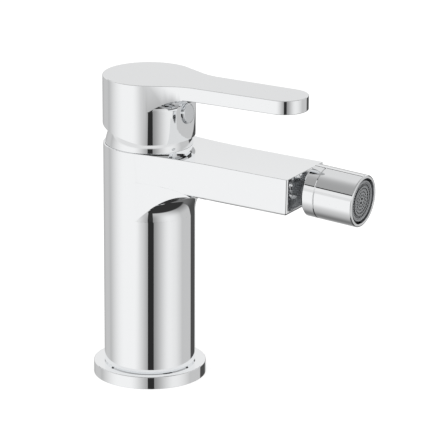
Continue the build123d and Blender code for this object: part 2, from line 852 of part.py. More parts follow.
insert_front = outlet_reach - cup_recess - insert_recess
with BuildPart() as aerator_insert:
    with BuildSketch(across_outlet(insert_front - insert_height)):
        Circle(insert_radius)
        with PolarLocations(insert_radius * insert_rim_share, insert_slots):
            Rectangle(insert_slot, insert_slot, mode=Mode.SUBTRACT)
        for share, count in insert_ring_shares:
            with PolarLocations(insert_radius * share, count):
                Rectangle(insert_hole, insert_hole, mode=Mode.SUBTRACT)
        with GridLocations(0, insert_pair_pitch, 1, 2):
            Rectangle(insert_hole, insert_hole, mode=Mode.SUBTRACT)
    extrude(amount=insert_height)
    ring(
        insert_ridge_radius - insert_ridge_width / 2,
        insert_ridge_radius + insert_ridge_width / 2,
        insert_front,
        insert_front + insert_ridge_height,
        outlet_axis,
    )
save(aerator_insert, "aerator_insert")
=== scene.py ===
import logging
import math
from collections.abc import Callable, Iterable
from dataclasses import dataclass, field
from enum import Enum
from typing import Any

import bmesh
import bpy
from mathutils import Matrix, Vector


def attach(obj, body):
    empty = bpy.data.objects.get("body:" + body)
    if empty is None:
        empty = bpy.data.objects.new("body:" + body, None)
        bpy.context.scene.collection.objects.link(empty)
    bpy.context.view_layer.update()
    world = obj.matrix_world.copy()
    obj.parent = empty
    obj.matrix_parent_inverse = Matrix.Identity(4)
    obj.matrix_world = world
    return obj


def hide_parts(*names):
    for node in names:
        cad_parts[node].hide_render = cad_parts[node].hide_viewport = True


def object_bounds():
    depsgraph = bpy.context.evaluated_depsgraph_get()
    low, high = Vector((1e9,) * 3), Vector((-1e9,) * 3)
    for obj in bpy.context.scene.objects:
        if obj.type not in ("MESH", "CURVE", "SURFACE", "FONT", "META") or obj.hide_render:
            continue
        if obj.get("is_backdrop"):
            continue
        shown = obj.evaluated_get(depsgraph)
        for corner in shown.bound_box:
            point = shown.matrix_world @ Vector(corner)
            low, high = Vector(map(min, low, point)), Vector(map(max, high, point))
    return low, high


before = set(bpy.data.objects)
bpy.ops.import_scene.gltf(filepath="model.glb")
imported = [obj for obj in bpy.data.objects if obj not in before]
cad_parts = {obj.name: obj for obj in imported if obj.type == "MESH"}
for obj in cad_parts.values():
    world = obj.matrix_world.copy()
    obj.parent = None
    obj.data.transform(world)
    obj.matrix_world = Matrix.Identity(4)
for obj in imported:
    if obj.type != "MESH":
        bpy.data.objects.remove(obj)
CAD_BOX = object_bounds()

# Looks of a one-hole bidet mixer with a single lever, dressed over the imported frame.
# Sizes are in millimetres in the classes below, and MM turns them to Blender's metres.

log = logging.getLogger("bidet_mixer")
MM = 0.001
PHOTO_SIDE = 441  # pixels on each side of the photograph
BALL_CENTRE = (0.0, -93.689, 105.605)  # mm, what the outlet tilts about
SPOUT_SLOPE = 1.28  # degrees, down towards the tip
SAME_HEIGHT = 0.01  # mm, within which two heights count as one
UPRIGHT = 0.99  # the least Z of a normal that points up

Outline = list[tuple[float, float]]
Tree = bpy.types.NodeTree
Socket = bpy.types.NodeSocket


class Body(Enum):
    """The bodies that this script's own meshes ride on."""

    MIXER = "mixer"
    LEVER = "lever"
    OUTLET = "outlet"


class Slot(Enum):
    """The material slots of the record."""

    CHROME = "chrome"
    BRASS = "brass"
    STEEL = "steel"
    RUBBER = "rubber"
    CARTRIDGE_PLASTIC = "cartridge_plastic"
    SEAT_PLASTIC = "seat_plastic"
    AERATOR_PLASTIC = "aerator_plastic"
    CERAMIC = "ceramic"
    PLUG = "plug"


def linear(colour: str) -> tuple[float, float, float, float]:
    """Turns an sRGB hex colour to the linear values that shaders use.

    Args:
        colour: the colour as "#RRGGBB".

    Returns:
        Red, green, blue and an alpha of one.
    """
    knee, slope, offset, power = 0.04045, 12.92, 0.055, 2.4  # of the sRGB curve
    channels = [int(colour[i : i + 2], 16) / 255 for i in (1, 3, 5)]
    red, green, blue = (
        c / slope if c <= knee else ((c + offset) / (1 + offset)) ** power for c in channels
    )
    return (red, green, blue, 1.0)


def add_node(
    tree: Tree,
    kind: str,
    settings: dict[str, Any] | None = None,
    inputs: dict[str | int, Any] | None = None,
) -> bpy.types.Node:
    """Adds one node with its settings and its links.

    Args:
        tree: the node tree it goes into.
        kind: the node's type name.
        settings: attributes of the node.
        inputs: by socket name or number, a value, or an output socket to link from.

    Returns:
        The new node.
    """
    node = tree.nodes.new(kind)
    for name, value in (settings or {}).items():
        setattr(node, name, value)
    for name, value in (inputs or {}).items():
        if isinstance(value, Socket):
            tree.links.new(value, node.inputs[name])
        else:
            node.inputs[name].default_value = value
    return node


def add_object(name: str, data: bpy.types.ID) -> bpy.types.Object:
    """Adds an object to the scene.

    Args:
        name: the object's name.
        data: its mesh, light or camera.

    Returns:
        The new object.
    """
    made = bpy.data.objects.new(name, data)
    bpy.context.scene.collection.objects.link(made)
    return made


def empty_tree(owner: bpy.types.Material | bpy.types.World) -> Tree:
    """Switches on the nodes of a material or world and clears them.

    Args:
        owner: the material or world.

    Returns:
        Its node tree.
    """
    owner.use_nodes = True
    owner.node_tree.nodes.clear()
    return owner.node_tree


# Finishes


class Finish:
    """What every finish has: a material name, and a method that makes the material once."""

    name: str

    def shade(self, tree: Tree, shader: bpy.types.Node) -> None:
        """Adds this finish's own nodes to the tree and sets the shader's sockets."""
        raise NotImplementedError

    def material(self) -> bpy.types.Material:
        """Makes the material the first time.

        Returns:
            The material, the same one each time.
        """
        known = bpy.data.materials.get(self.name)
        if known:
            return known
        made = bpy.data.materials.new(self.name)
        tree = empty_tree(made)
        shader = add_node(tree, "ShaderNodeBsdfPrincipled")
        add_node(tree, "ShaderNodeOutputMaterial", inputs={"Surface": shader.outputs["BSDF"]})
        self.shade(tree, shader)
        return made

    def spots(self, tree: Tree, width: float, detail: float) -> Socket:
        """Adds soft spots that stay with the object.

        Args:
            tree: the material's node tree.
            width: of a spot, in mm.
            detail: how many finer layers there are in the spots.

        Returns:
            The socket, which runs from 0 to 1.
        """
        where = add_node(tree, "ShaderNodeTexCoord")
        sockets = {"Vector": where.outputs["Object"], "Scale": 1 / (width * MM), "Detail": detail}
        return add_node(tree, "ShaderNodeTexNoise", inputs=sockets).outputs["Fac"]

    def vary_roughness(
        self, shader: bpy.types.Node, spots: Socket, low: float, high: float
    ) -> None:
        """Lets the roughness change with the spots.

        Args:
            shader: the material's shader.
            spots: the spots.
            low: the roughness where they are 0.
            high: the roughness where they are 1.
        """
        tree = shader.id_data
        sockets = {"Value": spots, "To Min": low, "To Max": high}
        rough = add_node(tree, "ShaderNodeMapRange", inputs=sockets)
        tree.links.new(rough.outputs["Result"], shader.inputs["Roughness"])


@dataclass(frozen=True)
class PolishedChrome(Finish):
    """Nickel and chrome plate on buffed brass: a clean mirror with the least trace of buffing."""

    name: str = "polished_chrome_plate"
    colour: str = "#F8F9FA"
    roughness: float = 0.02
    haze: float = 0.015  # how much rougher the haziest spots are
    haze_width: float = 9.0  # mm, of a cloud left by the buffing wheel

    def shade(self, tree: Tree, shader: bpy.types.Node) -> None:
        """Sets a mirror whose roughness drifts in wide, faint clouds.

        Args:
            tree: the material's node tree.
            shader: its shader.
        """
        shader.inputs["Base Color"].default_value = linear(self.colour)
        shader.inputs["Metallic"].default_value = 1.0
        clouds = self.spots(tree, self.haze_width, 2.0)
        self.vary_roughness(shader, clouds, self.roughness, self.roughness + self.haze)


@dataclass(frozen=True)
class Grained(Finish):
    """A material with a fine grain in its colour, its roughness and its surface."""

    name: str
    colour: str
    dark: str
    roughness: float
    grain: float  # mm, the width of a grain
    depth: float  # mm, how deep the grain is
    metallic: float = 0.0
    ior: float = 1.5
    spread: float = 0.1  # how much the roughness changes

    def shade(self, tree: Tree, shader: bpy.types.Node) -> None:
        """Sets colour, roughness and bump from one grain.

        Args:
            tree: the material's node tree.
            shader: its shader.
        """
        grain = self.spots(tree, self.grain, 3.0)
        colour = add_node(
            tree,
            "ShaderNodeMix",
            {"data_type": "RGBA"},
            {0: grain, 6: linear(self.dark), 7: linear(self.colour)},
        )
        bump = add_node(
            tree, "ShaderNodeBump", inputs={"Height": grain, "Distance": self.depth * MM}
        )
        tree.links.new(colour.outputs[2], shader.inputs["Base Color"])
        tree.links.new(bump.outputs["Normal"], shader.inputs["Normal"])
        half = self.spread / 2
        self.vary_roughness(shader, grain, self.roughness - half, self.roughness + half)
        shader.inputs["Metallic"].default_value = self.metallic
        if not self.metallic:
            shader.inputs["IOR"].default_value = self.ior


FINISHES: dict[Slot, Finish] = {
    # Bright plate: nearly all that the eye sees is the studio in it
    Slot.CHROME: PolishedChrome(),
    # Yellow metal with the fine marks of a lathe
    Slot.BRASS: Grained("turned_brass", "#D9B36C", "#B98F4A", 0.28, 0.4, 0.01, metallic=1.0),
    # Grey metal, a little duller than the plate round it
    Slot.STEEL: Grained("stainless_steel", "#C4C6C8", "#A6A8AB", 0.3, 0.3, 0.01, metallic=1.0),
    # Dull black with a soft broad shine
    Slot.RUBBER: Grained("nitrile_rubber", "#2A2A2B", "#1C1C1D", 0.62, 0.5, 0.02, ior=1.52),
    # White acetal: an even, slightly waxy surface
    Slot.CARTRIDGE_PLASTIC: Grained(
        "moulded_acetal", "#E6E4DE", "#D8D5CD", 0.38, 0.6, 0.008, ior=1.48
    ),
    # White and soapy, with hardly any shine
    Slot.SEAT_PLASTIC: Grained("moulded_ptfe", "#EDEDEA", "#DEDEDA", 0.45, 0.6, 0.008, ior=1.35),
    # Grey acetal, dull enough to part the insert from the bright lip round it
    Slot.AERATOR_PLASTIC: Grained("grey_acetal", "#A6A8AA", "#96989A", 0.42, 0.5, 0.01, ior=1.48),
    # Alumina: hard, white and ground almost to a polish
    Slot.CERAMIC: Grained("alumina_ceramic", "#EDE9DF", "#E2DCCF", 0.22, 0.2, 0.003, ior=1.77),
    # Plated plastic, a shade softer than the plate on brass
    Slot.PLUG: PolishedChrome("plated_plug", "#EDEFF1", 0.06, 0.03, 4.0),
}


# Plate over the raw casting in pocket and bore: grey, with a broad dull shine
RAW_PLATE = PolishedChrome("plate_on_raw_casting", "#E0E2E4", 0.5, 0.12, 2.0)
# Painted shade: the walls inside the jet insert's openings take a dark acetal that stands in for
# the shade where no light reaches, so they read as dark dots
PAINTED_SHADE_PLASTIC = Grained("painted_shade_acetal", "#2E2E2F", "#242425", 0.6, 0.5, 0.01, ior=1.48)


# Meshes


def crisp_normals(mesh: bpy.types.Mesh) -> None:
    """Gives a mesh flat flats and smooth rounds.

    At each corner the normals of the faces round it are averaged by area and by angle, as far as
    the next sharp edge, so that a flat beside a narrow round stays flat in the mirror.

    Args:
        mesh: the mesh, of which only the normals change.
    """
    shell = bmesh.new()
    shell.from_mesh(mesh)
    limit = math.radians(32)  # an edge where the faces bend more than this stays sharp
    count = 0
    for face in shell.faces:
        face.smooth = True
        for loop in face.loops:
            loop.index = count
            count += 1
    normals: list[Vector] = [Vector((0.0, 0.0, 1.0))] * count
    for vert in shell.verts:
        loops = list(vert.link_loops)
        seen: set[int] = set()
        for start in loops:
            if start.index in seen:
                continue
            group, queue = [], [start]
            seen.add(start.index)
            while queue:
                loop = queue.pop()
                group.append(loop)
                for edge in (loop.edge, loop.link_loop_prev.edge):
                    if len(edge.link_faces) != 2 or edge.calc_face_angle(math.pi) > limit:
                        continue
                    other = next(f for f in edge.link_faces if f is not loop.face)
                    for near in other.loops:
                        if near.vert is vert and near.index not in seen:
                            seen.add(near.index)
                            queue.append(near)
            total = Vector((0.0, 0.0, 0.0))
            for loop in group:
                total += loop.face.normal * (loop.face.calc_area() * loop.calc_angle())
            normal = total.normalized() if total.length > 0 else start.face.normal
            for loop in group:
                normals[loop.index] = normal
    shell.to_mesh(mesh)
    shell.free()
    mesh.normals_split_custom_set(normals)


def finished(shell: bmesh.types.BMesh) -> bpy.types.Mesh:
    """Turns a shell to a mesh with crisp normals.

    Args:
        shell: the shell, which is freed.

    Returns:
        The mesh.
    """
    mesh = bpy.data.meshes.new("piece")
    shell.to_mesh(mesh)
    shell.free()
    crisp_normals(mesh)
    return mesh


def soften(outline: Outline, radius: float, own: dict[int, float], steps: int = 4) -> Outline:
    """Rounds the corners of a closed outline.

    Args:
        outline: the corners, as (radius, distance) in mm.
        radius: the round at every corner, in mm.
        own: by the corner's number, a different round.
        steps: how many straight pieces each round has.

    Returns:
        The rounded outline.
    """
    trim_share = 0.45  # the most that one round takes off a side
    blunt = math.radians(150)  # corners blunter than this stay as they are
    points: Outline = []
    total = len(outline)
    for index, corner in enumerate(outline):
        here = Vector(corner)
        before = Vector(outline[index - 1]) - here
        after = Vector(outline[(index + 1) % total]) - here
        angle = before.angle(after)
        wanted = own.get(index, radius)
        if wanted == 0 or angle > blunt:
            points.append(corner)
            continue
        room = trim_share * min(before.length, after.length)
        trim = min(wanted / math.tan(angle / 2), room)
        first, last = here + before.normalized() * trim, here + after.normalized() * trim
        middle = here + (before.normalized() + after.normalized()).normalized() * (
            trim / math.cos(angle / 2)
        )
        sweep = (first - middle).angle_signed(last - middle)
        for step in range(steps + 1):
            turned = Matrix.Rotation(-sweep * step / steps, 2) @ (first - middle)
            points.append(tuple(middle + turned))
    return points


@dataclass(frozen=True)
class Axis:
    """A line that pieces are turned about: a point on it in mm and its direction."""

    origin: tuple[float, float, float] = (0.0, 0.0, 0.0)
    direction: tuple[float, float, float] = (0.0, 0.0, 1.0)

    def at(self, radius: float, distance: float, angle: float) -> Vector:
        """Finds a point by its place about the axis.

        Args:
            radius: how far it lies from the axis, in mm.
            distance: how far it lies along the axis, in mm.
            angle: how far round the axis, in radians.

        Returns:
            The point, in metres.
        """
        along = Vector(self.direction)
        right = Vector((1.0, 0.0, 0.0))
        up = along.cross(right)
        spoke = right * math.cos(angle) + up * math.sin(angle)
        return (Vector(self.origin) + along * distance + spoke * radius) * MM


def forward_axis(origin: tuple[float, float, float], fall: float) -> Axis:
    """Returns the axis that runs forward from a point and falls by so many degrees."""
    slope = math.radians(fall)
    return Axis(origin, (0.0, -math.cos(slope), -math.sin(slope)))


def lathe(outline: Outline, axis: Axis, segments: int = 144) -> bpy.types.Mesh:
    """Turns a closed outline about an axis.

    Args:
        outline: the corners, as (radius, distance along the axis) in mm.
        axis: the axis.
        segments: how many facets there are round it.

    Returns:
        The mesh.
    """
    shell = bmesh.new()
    rings = []
    angles = [math.tau * k / segments for k in range(segments)]
    for radius, distance in outline:
        if radius == 0:
            rings.append([shell.verts.new(axis.at(0.0, distance, 0.0))] * segments)
        else:
            rings.append([shell.verts.new(axis.at(radius, distance, a)) for a in angles])
    for low, high in zip(rings, rings[1:] + rings[:1]):
        for k in range(segments):
            corners = list(dict.fromkeys([low[k], low[k - 1], high[k - 1], high[k]]))
            if len(corners) > 2:
                shell.faces.new(corners)
    bmesh.ops.recalc_face_normals(shell, faces=shell.faces)
    return finished(shell)


def place(
    name: str, mesh: bpy.types.Mesh, slot: Slot, body: Body, stands_for: str | None = None
) -> None:
    """Puts a mesh in the scene as a piece that rides a body.

    Args:
        name: the piece's name.
        mesh: its mesh, in metres and in place.
        slot: the finish it takes.
        body: the body it rides.
        stands_for: the CAD node that it replaces, if any.
    """
    piece = add_object(name, mesh)
    mesh.name = name
    mesh.materials.append(FINISHES[slot].material())
    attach(piece, body.value)
    if stands_for:
        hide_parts(stands_for)
    log.info("%s: %d faces", name, len(mesh.polygons))


def thread(
    radius: float, depth: float, pitch: float, low: float, high: float, axis: Axis
) -> bpy.types.Mesh:
    """Winds a screw thread's ridge, as one strip with a triangle's section.

    Args:
        radius: of the wall that the ridge stands on, in mm.
        depth: how far the ridge stands in from the wall, in mm.
        pitch: mm from one turn to the next.
        low: where it starts along the axis, in mm.
        high: where it ends.
        axis: the axis.

    Returns:
        The mesh.
    """
    around = 40  # steps in a turn
    width = 0.98 * pitch  # a little under the pitch, so that two turns never touch
    total = int((high - low - pitch) / pitch * around)
    shell = bmesh.new()
    rows = []
    for step in range(total + 1):
        angle = math.tau * step / around
        foot = low + pitch * step / around
        fade = min(1.0, step / around, (total - step) / around)
        crest = (radius - depth * fade, foot + pitch / 2)
        section = [(radius, foot), crest, (radius, foot + width)]
        rows.append([shell.verts.new(axis.at(r, distance, angle)) for r, distance in section])
    for row, after in zip(rows, rows[1:]):
        for first, second in ((0, 1), (1, 2), (2, 0)):
            shell.faces.new([row[first], row[second], after[second], after[first]])
    bmesh.ops.recalc_face_normals(shell, faces=shell.faces)
    return finished(shell)


def eased_copy(
    node: str,
    picked: Callable[[bmesh.types.BMEdge], bool],
    radius: float,
    cuts: Iterable[float] = (),
    above: float = 0.0,
) -> bpy.types.Mesh:
    """Copies a CAD node's mesh with some of its sharp edges rounded.

    Args:
        node: the CAD node.
        picked: tells which edges are rounded.
        radius: of the round, in mm.
        cuts: where the faces are divided along Y, in mm.
        above: the height from which they are divided, in mm.

    Returns:
        The new mesh.
    """
    weld, on_plane = 0.002 * MM, 0.001 * MM
    flat, sharp = math.radians(0.3), math.radians(50)
    shell = bmesh.new()
    shell.from_mesh(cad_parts[node].data)
    bmesh.ops.remove_doubles(shell, verts=shell.verts, dist=weld)
    bmesh.ops.dissolve_limit(shell, angle_limit=flat, verts=shell.verts, edges=shell.edges)
    edges = [e for e in shell.edges if e.calc_face_angle(0.0) > sharp and picked(e)]
    bmesh.ops.bevel(
        shell,
        geom=edges,
        offset=radius * MM,
        offset_type="OFFSET",
        segments=4,
        profile=0.5,
        affect="EDGES",
        clamp_overlap=True,
    )
    for cut in cuts:
        faces = [f for f in shell.faces if all(v.co.z > above * MM for v in f.verts)]
        edges = {edge for face in faces for edge in face.edges}
        verts = {vert for face in faces for vert in face.verts}
        bmesh.ops.bisect_plane(
            shell,
            geom=[v for v in shell.verts if v in verts]
            + [e for e in shell.edges if e in edges]
            + faces,
            dist=on_plane,
            plane_co=(0.0, cut * MM, 0.0),
            plane_no=(0.0, 1.0, 0.0),
        )
    # The cuts leave no fixed order, and each run has to give the same mesh
    for elements, middle in (
        (shell.verts, lambda vert: vert.co[:]),
        (shell.edges, lambda edge: (edge.verts[0].co + edge.verts[1].co)[:]),
        (shell.faces, lambda face: face.calc_center_median()[:]),
    ):
        for number, element in enumerate(sorted(elements, key=middle)):
            element.index = number
        elements.sort()
    return finished(shell)


# Sub-assemblies


@dataclass
class SubAssembly:
    """Pieces that belong together: CAD nodes that are only dressed, and meshes of their own."""

    nodes: dict[str, Slot]

    def dress(self) -> None:
        """Gives each CAD node of this sub-assembly its finish and clean normals."""
        for name, slot in self.nodes.items():
            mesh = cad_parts[name].data
            mesh.materials.clear()
            mesh.materials.append(FINISHES[slot].material())
            crisp_normals(mesh)
            log.info("%s: dressed", name)

    def build(self) -> None:
        """Adds this sub-assembly's own meshes."""

    def make(self) -> None:
        """Dresses and builds."""
        self.dress()
        self.build()


@dataclass
class BaseRing(SubAssembly):
    """The round ring on the deck, and the seal in its groove."""

    bore: float = 20.1
    radius: float = 27.2
    height: float = 6.1
    groove: tuple[float, float, float] = (22.5, 25.5, 2.0)  # inner and outer radius, depth
    edge_round: float = 0.35  # of the upper outer edge
    corner_round: float = 0.12

    def build(self) -> None:
        """Turns the ring with its eased upper edge."""
        inner, outer, depth = self.groove
        outline = [
            (self.bore, 0.0),
            (inner, 0.0),
            (inner, depth),
            (outer, depth),
            (outer, 0.0),
            (self.radius, 0.0),
            (self.radius, self.height),
            (self.bore, self.height),
        ]
        rounded = soften(outline, self.corner_round, {6: self.edge_round})
        mesh = lathe(rounded, Axis(), segments=192)
        place("deck_ring", mesh, Slot.CHROME, Body.MIXER, "base_flange")


@dataclass
class Casting(SubAssembly):
    """Barrel and spout, with the block, the nut and the dome ring that they carry."""

    barrel_radius: float = 22.0
    edge_round: float = 0.25
    upper_from: float = 113.9  # the upper edges of barrel and spout lie above this height
    mouth_radius: float = 21.6  # edges within it belong to the bore and stay as they are
    bore_radius: float = 20.5  # faces within it are inside the barrel
    bore_span: tuple[float, float] = (1.0, 115.0)
    pocket_half_width: float = 16.2
    pocket_middle: float = 105.8
    pocket_half_height: float = 7.7
    pocket_span: tuple[float, float] = (60.0, 84.6)  # from the barrel's axis
    dome_radius: float = 21.1
    dome_centre: float = 114.0
    dome_foot: float = 115.5
    dome_top: float = 126.2
    dome_bore: float = 19.4
    dome_mouth: float = 15.6
    dome_step: float = 120.4  # where the bore starts to close in
    block_foot: float = 58.0
    ports: tuple[tuple[float, float], ...] = ((6.5, -3.2), (-6.5, -3.2))
    stud: tuple[float, float] = (0.0, 9.0)
    # radius, depth and pitch, and how far above the block's foot the thread starts and ends
    port_thread: tuple[float, float, float, float, float] = (4.5, 0.5, 1.0, 0.3, 11.5)
    stud_thread: tuple[float, float, float, float, float] = (3.4, 0.5, 1.25, 0.3, 13.0)
    spout_top: float = 116.1
    spout_height: float = 17.6
    spout_half_width: float = 17.5
    side_radius: float = 216.4  # of the sides' arcs, from the barrel to where they run straight
    side_end: float = 46.0
    web_round: float = 16.0
    web_proud: float = 0.02  # of the web's sides over the spout's
    web_sunk: float = 0.02  # how deep the web's outer edge lies in the spout
    web_top: float = 3.2  # how far the web reaches up beside the casting's eased lower edge

    def build(self) -> None:
        """Makes the casting with eased edges, the dome ring, the web and the block's threads."""
        mesh = eased_copy("mixer_body", self.is_upper_edge, self.edge_round)
        place("body_casting", mesh, Slot.CHROME, Body.MIXER, "mixer_body")
        mesh.materials.append(RAW_PLATE.material())
        for face in mesh.polygons:
            face.material_index = int(self.is_hidden(face.center / MM))
        self.build_dome()
        self.build_web()
        for number, spot in enumerate(self.ports, 1):
            mesh = thread(*self.port_thread, Axis((*spot, self.block_foot)))
            place(f"port_thread_{number}", mesh, Slot.BRASS, Body.MIXER)
        mesh = thread(*self.stud_thread, Axis((*self.stud, self.block_foot)))
        place("stud_thread", mesh, Slot.BRASS, Body.MIXER)

    def is_upper_edge(self, edge: bmesh.types.BMEdge) -> bool:
        """Tells the upper edges of barrel and spout from the rest.

        Args:
            edge: an edge of the casting.

        Returns:
            Whether it borders their top from outside.
        """
        middle = (edge.verts[0].co + edge.verts[1].co) / (2 * MM)
        on_top = any(face.normal.z > UPRIGHT for face in edge.link_faces)
        outside = middle.xy.length > self.mouth_radius
        return on_top and outside and middle.z > self.upper_from

    def is_hidden(self, point: Vector) -> bool:
        """Tells the spout's pocket and the barrel's bore from the polished outside.

        Args:
            point: a point on the casting, in mm.

        Returns:
            Whether it lies in the pocket or in the bore.
        """
        (foot, brim), (near, far) = self.bore_span, self.pocket_span
        in_bore = point.xy.length < self.bore_radius and foot < point.z < brim
        level = abs(point.z - self.pocket_middle) < self.pocket_half_height
        within = level and abs(point.x) < self.pocket_half_width
        return in_bore or (within and near < -point.y < far)

    def side_at(self, radius: float) -> float:
        """Finds how far round the spout's side lies at a distance from the barrel's axis.

        Args:
            radius: the distance, in mm.

        Returns:
            The angle from the spout's middle, in radians.
        """
        halvings = 40
        middle = self.side_radius + self.spout_half_width
        low = self.barrel_radius * self.side_end / math.hypot(middle, self.side_end)
        high = self.side_end
        for _ in range(halvings):
            reach = (low + high) / 2
            across = middle - math.sqrt(self.side_radius**2 - (self.side_end - reach) ** 2)
            if math.hypot(across, reach) < radius:
                low = reach
            else:
                high = reach
        return math.atan2(across, reach)

    def build_web(self) -> None:
        """Builds the wide round under the spout's root, as far as the spout's sides."""
        steps, across = 28, 72
        crowding = 1.6  # above 1, the rows lie closer together beside the barrel
        slope = math.radians(SPOUT_SLOPE)
        shell = bmesh.new()
        rows: list[tuple[list[bmesh.types.BMVert], list[bmesh.types.BMVert]]] = []
        for k in range(steps + 1):
            turn = math.pi / 2 * (k / steps) ** crowding
            outward = 1 - math.cos(turn)
            radius = self.barrel_radius + self.web_round * outward
            limit = self.side_at(radius)
            upper, lower = [], []
            for j in range(across + 1):
                angle = limit * (2 * j / across - 1)
                x, y = radius * math.sin(angle), -radius * math.cos(angle)
                x += {0: -self.web_proud, across: self.web_proud}.get(j, 0.0)
                under = self.spout_top + y * math.tan(slope) - self.spout_height / math.cos(slope)
                z = under - self.web_round * (1 - math.sin(turn))
                top = under + self.web_top * (1 - outward**2) + self.web_sunk
                lower.append(shell.verts.new(Vector((x, y, z)) * MM))
                upper.append(shell.verts.new(Vector((x, y, top)) * MM))
            rows.append((lower, upper))
        for first, second in zip(rows, rows[1:]):
            for level in (0, 1):
                for j in range(across):
                    corners = [first[level][j], first[level][j + 1]]
                    shell.faces.new(corners + [second[level][j + 1], second[level][j]])
            for j in (0, across):
                shell.faces.new([first[0][j], second[0][j], second[1][j], first[1][j]])
        for lower, upper in (rows[0], rows[-1]):
            for j in range(across):
                shell.faces.new([lower[j], lower[j + 1], upper[j + 1], upper[j]])
        bmesh.ops.recalc_face_normals(shell, faces=shell.faces)
        place("spout_web", finished(shell), Slot.CHROME, Body.MIXER)

    def build_dome(self) -> None:
        """Turns the dome ring: part of a ball about the lever's pivot."""
        steps = 14
        radius, centre = self.dome_radius, self.dome_centre
        low = math.asin((self.dome_foot - centre) / radius)
        high = math.asin((self.dome_top - centre) / radius)
        angles = [low + (high - low) * k / steps for k in range(steps + 1)]
        outline = [(radius * math.cos(a), centre + radius * math.sin(a)) for a in angles]
        outline += [
            (self.dome_mouth, self.dome_top),
            (self.dome_bore, self.dome_step),
            (self.dome_bore, self.dome_foot),
        ]
        place("dome", lathe(outline, Axis()), Slot.CHROME, Body.MIXER, "dome_ring")


@dataclass
class Cartridge(SubAssembly):
    """The ceramic disc cartridge: only dressed, because nothing of it shows from outside."""


@dataclass
class Lever(SubAssembly):
    """Handle, spindle, screw and plug."""

    top: float = 149.4
    edge_round: float = 0.35
    plug_axis: Axis = forward_axis((0.0, -21.0, 132.9), -6.0)
    plug_radius: float = 4.9
    plug_stand: float = 1.3
    plug_thickness: float = 4.0
    plug_round: float = 0.8
    plug_back_round: float = 0.2
    plate_underside: float = 142.6
    plate_edge: float = 0.6  # how far below the underside faces are divided too
    arm_inside: float = 11.0  # the arm's sides lie further from its middle line than this
    flare_angle: float = 22.3
    flare_start: float = 8.4  # how far from the axis the sides leave the hub
    flare_length: float = 21.0
    flare_steps: int = 14

    def curve_flare(self, mesh: bpy.types.Mesh) -> None:
        """Turns the normals of the plate's flare evenly, so that it mirrors as one long curve.

        Args:
            mesh: the handle's mesh, of which only the normals change.
        """
        least_level = 0.2  # normals that point more steeply than this stay as they are
        normals = [Vector(corner.vector) for corner in mesh.corner_normals]
        for loop, normal in zip(mesh.loops, normals):
            spot = mesh.vertices[loop.vertex_index].co / MM
            past = (-spot.y - self.flare_start) / self.flare_length
            level = normal.xy.length
            sideways = abs(normal.x) > abs(normal.y) and level > least_level
            on_flare = 0.0 < past < 1.0 and abs(spot.x) > self.arm_inside
            if spot.z > self.plate_underside and on_flare and sideways:
                turn = math.radians(self.flare_angle) * (1.0 + math.cos(math.pi * past)) / 2
                normal.x = math.copysign(level * math.cos(turn), normal.x)
                normal.y = -level * math.sin(turn)
        mesh.normals_split_custom_set(normals)

    def is_upper_edge(self, edge: bmesh.types.BMEdge) -> bool:
        """Tells the edge round the handle's top."""
        return all(v.co.z > (self.top - SAME_HEIGHT) * MM for v in edge.verts)

    def build(self) -> None:
        """Makes the handle with its eased upper edge, and the plug."""
        self.build_handle()
        self.build_plug()

    def build_handle(self) -> None:
        """Copies the handle, eases its upper edge and evens out its flare."""
        step = self.flare_length / self.flare_steps
        cuts = [-self.flare_start - step * k for k in range(self.flare_steps + 1)]
        low = self.plate_underside - self.plate_edge
        mesh = eased_copy("lever_handle", self.is_upper_edge, self.edge_round, cuts, low)
        self.curve_flare(mesh)
        place("handle", mesh, Slot.CHROME, Body.LEVER, "lever_handle")

    def build_plug(self) -> None:
        """Turns the plug."""
        back = self.plug_stand - self.plug_thickness
        outline = [
            (0.0, back),
            (self.plug_radius, back),
            (self.plug_radius, self.plug_stand),
            (0.0, self.plug_stand),
        ]
        rounds = {0: 0.0, 2: self.plug_round, 3: 0.0}
        rounded = soften(outline, self.plug_back_round, rounds, steps=8)
        mesh = lathe(rounded, self.plug_axis, segments=96)
        place("plug", mesh, Slot.PLUG, Body.LEVER, "index_plug")


@dataclass
class Nipple(SubAssembly):
    """The ball-ended nipple and its washer, on an axis that slopes with the spout."""

    axis: Axis = forward_axis(BALL_CENTRE, SPOUT_SLOPE)
    ball_radius: float = 8.5
    ball_flat: float = 7.6
    neck_radius: float = 4.4
    neck_round: float = 0.4  # where the neck meets the collar
    bore: float = 2.6
    collar: tuple[float, float, float] = (6.1, -16.7, -14.2)  # radius, back and front
    screwed: tuple[float, float] = (4.8, -27.8)  # radius and inner end
    corner_round: float = 0.15

    def build(self) -> None:
        """Turns the nipple."""
        radius, back, front = self.collar
        thread_radius, inner_end = self.screwed
        steps = 32
        start = -math.acos(self.neck_radius / self.ball_radius)
        stop = math.asin(self.ball_flat / self.ball_radius)
        outline = [
            (self.bore, inner_end),
            (thread_radius, inner_end),
            (thread_radius, back),
            (radius, back),
            (radius, front),
            (self.neck_radius, front),
        ]
        corners = soften(outline, self.corner_round, {0: 0.0, 5: self.neck_round})
        angles = [start + (stop - start) * k / steps for k in range(steps + 1)]
        ball = self.ball_radius
        corners += [(ball * math.cos(a), ball * math.sin(a)) for a in angles]
        corners.append((self.bore, self.ball_flat))
        place("nipple", lathe(corners, self.axis), Slot.CHROME, Body.MIXER, "ball_nipple")


@dataclass(frozen=True)
class Band:
    """One ring of the jet insert, plain or with openings."""

    inner: float  # mm, its inner radius
    openings: int = 0
    open_cells: int = 0  # how many cells round the ring each opening takes
    back: float = 0.0  # mm, how far its face stands back, or forward where negative


